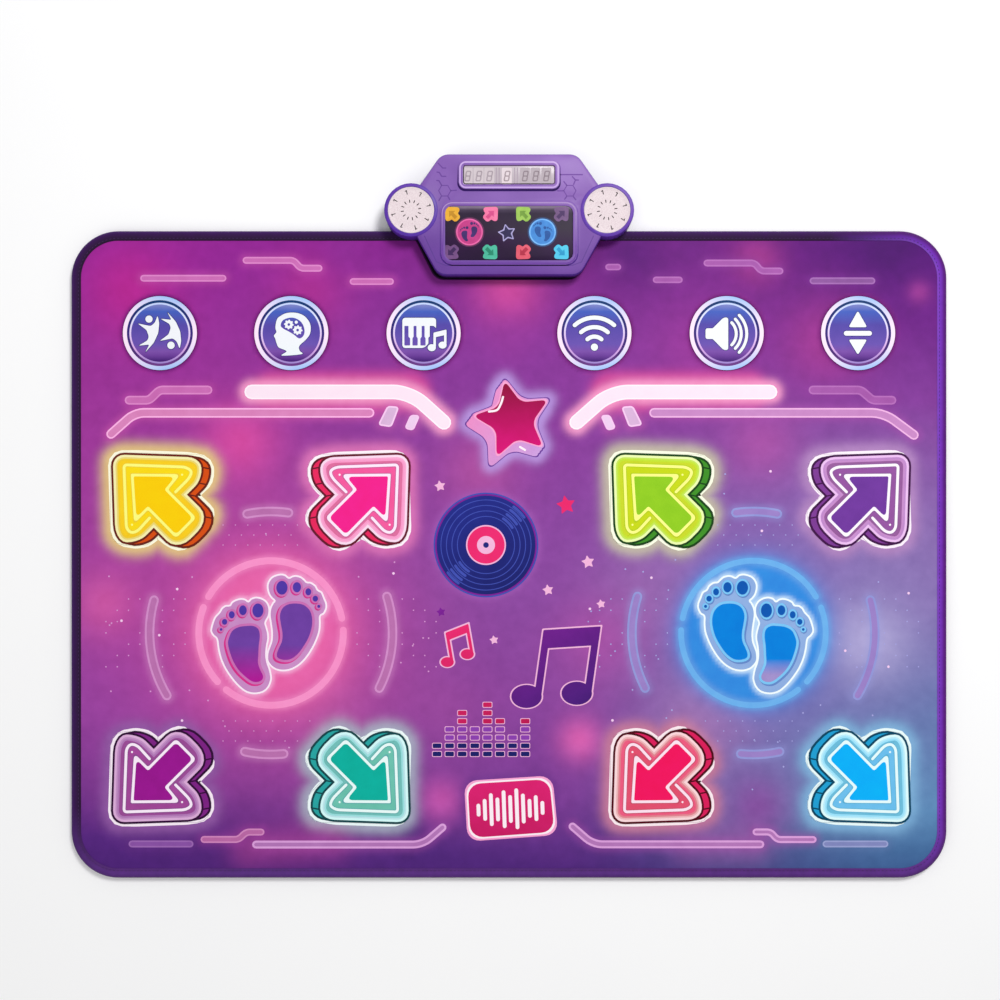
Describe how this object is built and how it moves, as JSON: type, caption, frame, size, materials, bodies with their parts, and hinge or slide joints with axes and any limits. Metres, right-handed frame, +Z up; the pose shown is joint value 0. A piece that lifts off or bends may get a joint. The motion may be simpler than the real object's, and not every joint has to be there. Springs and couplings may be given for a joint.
{
  "type": "electronic dance mat",
  "caption": "Printed padded floor mat with arrow press pads, round icon buttons and a hexagonal control unit with speakers, digit window and lit panel at its far edge.",
  "frame": {"origin": "on the floor, at the centre of the outline seen from above", "axes": "+X to the players' right, +Y away from the players towards the control unit, +Z up"},
  "size_m": [1.15, 0.945, 0.0375],
  "materials": {
    "printed_sheet": "satin",
    "non_slip_base": "matte",
    "foam": "matte",
    "contact_film": "satin",
    "binding_tape": "matte",
    "housing_plastic": "satin",
    "tub_plastic": "satin",
    "display_lens": "gloss",
    "smoked_window": "gloss",
    "grille_plastic": "satin",
    "driver_cone": "matte",
    "circuit_board": "satin",
    "dark_plastic": "satin",
    "steel": "satin",
    "cell_jacket": "gloss",
    "rubber": "matte",
    "button_print": "satin",
    "yellow_print": "satin",
    "pink_print": "satin",
    "green_print": "satin",
    "violet_print": "satin",
    "magenta_print": "satin",
    "teal_print": "satin",
    "red_print": "satin",
    "sky_print": "satin"
  },
  "bodies": {
    "mat": {"top_sheet": "printed_sheet", "base_sheet": "non_slip_base", "foam_pad": "foam", "spacer_sheet": "foam", "lower_contact_film": "contact_film", "upper_contact_film": "contact_film", "ribbon_tail": "contact_film", "edge_binding": "binding_tape", "upper_shell": "housing_plastic", "lower_shell": "tub_plastic", "display_lens": "display_lens", "panel_window": "smoked_window", "speaker_grille_left": "grille_plastic", "speaker_grille_right": "grille_plastic", "speaker_driver_left": "driver_cone", "speaker_driver_right": "driver_cone", "main_board": "circuit_board", "panel_led_board": "circuit_board", "display_module": "dark_plastic", "ribbon_connector": "dark_plastic", "power_switch_body": "dark_plastic", "battery_contact_left": "steel", "battery_contact_right": "steel", "usb_socket": "steel", "clamp_plate": "steel", "clamp_screw_1": "steel", "clamp_screw_2": "steel", "clamp_screw_3": "steel", "clamp_screw_4": "steel", "case_screw_1": "steel", "case_screw_2": "steel", "case_screw_3": "steel", "case_screw_4": "steel", "battery_1": "cell_jacket", "battery_2": "cell_jacket", "battery_3": "cell_jacket", "battery_4": "cell_jacket", "rubber_foot_left": "rubber", "rubber_foot_right": "rubber"},
    "arrow_pad_yellow": {"arrow_pad_yellow": "yellow_print"},
    "arrow_pad_pink": {"arrow_pad_pink": "pink_print"},
    "arrow_pad_green": {"arrow_pad_green": "green_print"},
    "arrow_pad_violet": {"arrow_pad_violet": "violet_print"},
    "arrow_pad_magenta": {"arrow_pad_magenta": "magenta_print"},
    "arrow_pad_teal": {"arrow_pad_teal": "teal_print"},
    "arrow_pad_red": {"arrow_pad_red": "red_print"},
    "arrow_pad_sky": {"arrow_pad_sky": "sky_print"},
    "button_game": {"button_game": "button_print"},
    "button_memory": {"button_memory": "button_print"},
    "button_piano": {"button_piano": "button_print"},
    "button_wireless": {"button_wireless": "button_print"},
    "button_volume": {"button_volume": "button_print"},
    "button_level": {"button_level": "button_print"},
    "battery_cover": {"battery_cover": "tub_plastic", "battery_screw": "steel"},
    "power_knob": {"power_knob": "grille_plastic"}
  },
  "joints": [
    {"name": "arrow_pad_yellow_press", "type": "slide", "parent": "mat", "child": "arrow_pad_yellow", "axis": [0, 0, -1], "range_m": [0, 0.0018], "stiffness_N_per_m": 1500, "springref_m": -0.001},
    {"name": "arrow_pad_pink_press", "type": "slide", "parent": "mat", "child": "arrow_pad_pink", "axis": [0, 0, -1], "range_m": [0, 0.0018], "stiffness_N_per_m": 1500, "springref_m": -0.001},
    {"name": "arrow_pad_green_press", "type": "slide", "parent": "mat", "child": "arrow_pad_green", "axis": [0, 0, -1], "range_m": [0, 0.0018], "stiffness_N_per_m": 1500, "springref_m": -0.001},
    {"name": "arrow_pad_violet_press", "type": "slide", "parent": "mat", "child": "arrow_pad_violet", "axis": [0, 0, -1], "range_m": [0, 0.0018], "stiffness_N_per_m": 1500, "springref_m": -0.001},
    {"name": "arrow_pad_magenta_press", "type": "slide", "parent": "mat", "child": "arrow_pad_magenta", "axis": [0, 0, -1], "range_m": [0, 0.0018], "stiffness_N_per_m": 1500, "springref_m": -0.001},
    {"name": "arrow_pad_teal_press", "type": "slide", "parent": "mat", "child": "arrow_pad_teal", "axis": [0, 0, -1], "range_m": [0, 0.0018], "stiffness_N_per_m": 1500, "springref_m": -0.001},
    {"name": "arrow_pad_red_press", "type": "slide", "parent": "mat", "child": "arrow_pad_red", "axis": [0, 0, -1], "range_m": [0, 0.0018], "stiffness_N_per_m": 1500, "springref_m": -0.001},
    {"name": "arrow_pad_sky_press", "type": "slide", "parent": "mat", "child": "arrow_pad_sky", "axis": [0, 0, -1], "range_m": [0, 0.0018], "stiffness_N_per_m": 1500, "springref_m": -0.001},
    {"name": "button_game_press", "type": "slide", "parent": "mat", "child": "button_game", "axis": [0, 0, -1], "range_m": [0, 0.0012], "stiffness_N_per_m": 900, "springref_m": -0.001},
    {"name": "button_memory_press", "type": "slide", "parent": "mat", "child": "button_memory", "axis": [0, 0, -1], "range_m": [0, 0.0012], "stiffness_N_per_m": 900, "springref_m": -0.001},
    {"name": "button_piano_press", "type": "slide", "parent": "mat", "child": "button_piano", "axis": [0, 0, -1], "range_m": [0, 0.0012], "stiffness_N_per_m": 900, "springref_m": -0.001},
    {"name": "button_wireless_press", "type": "slide", "parent": "mat", "child": "button_wireless", "axis": [0, 0, -1], "range_m": [0, 0.0012], "stiffness_N_per_m": 900, "springref_m": -0.001},
    {"name": "button_volume_press", "type": "slide", "parent": "mat", "child": "button_volume", "axis": [0, 0, -1], "range_m": [0, 0.0012], "stiffness_N_per_m": 900, "springref_m": -0.001},
    {"name": "button_level_press", "type": "slide", "parent": "mat", "child": "button_level", "axis": [0, 0, -1], "range_m": [0, 0.0012], "stiffness_N_per_m": 900, "springref_m": -0.001},
    {"name": "battery_cover_release", "type": "slide", "parent": "mat", "child": "battery_cover", "axis": [0, 0, -1], "range_m": [0, 0.03]},
    {"name": "power_knob_slide", "type": "slide", "parent": "mat", "child": "power_knob", "axis": [1, 0, 0], "range_m": [0, 0.004]}
  ]
}
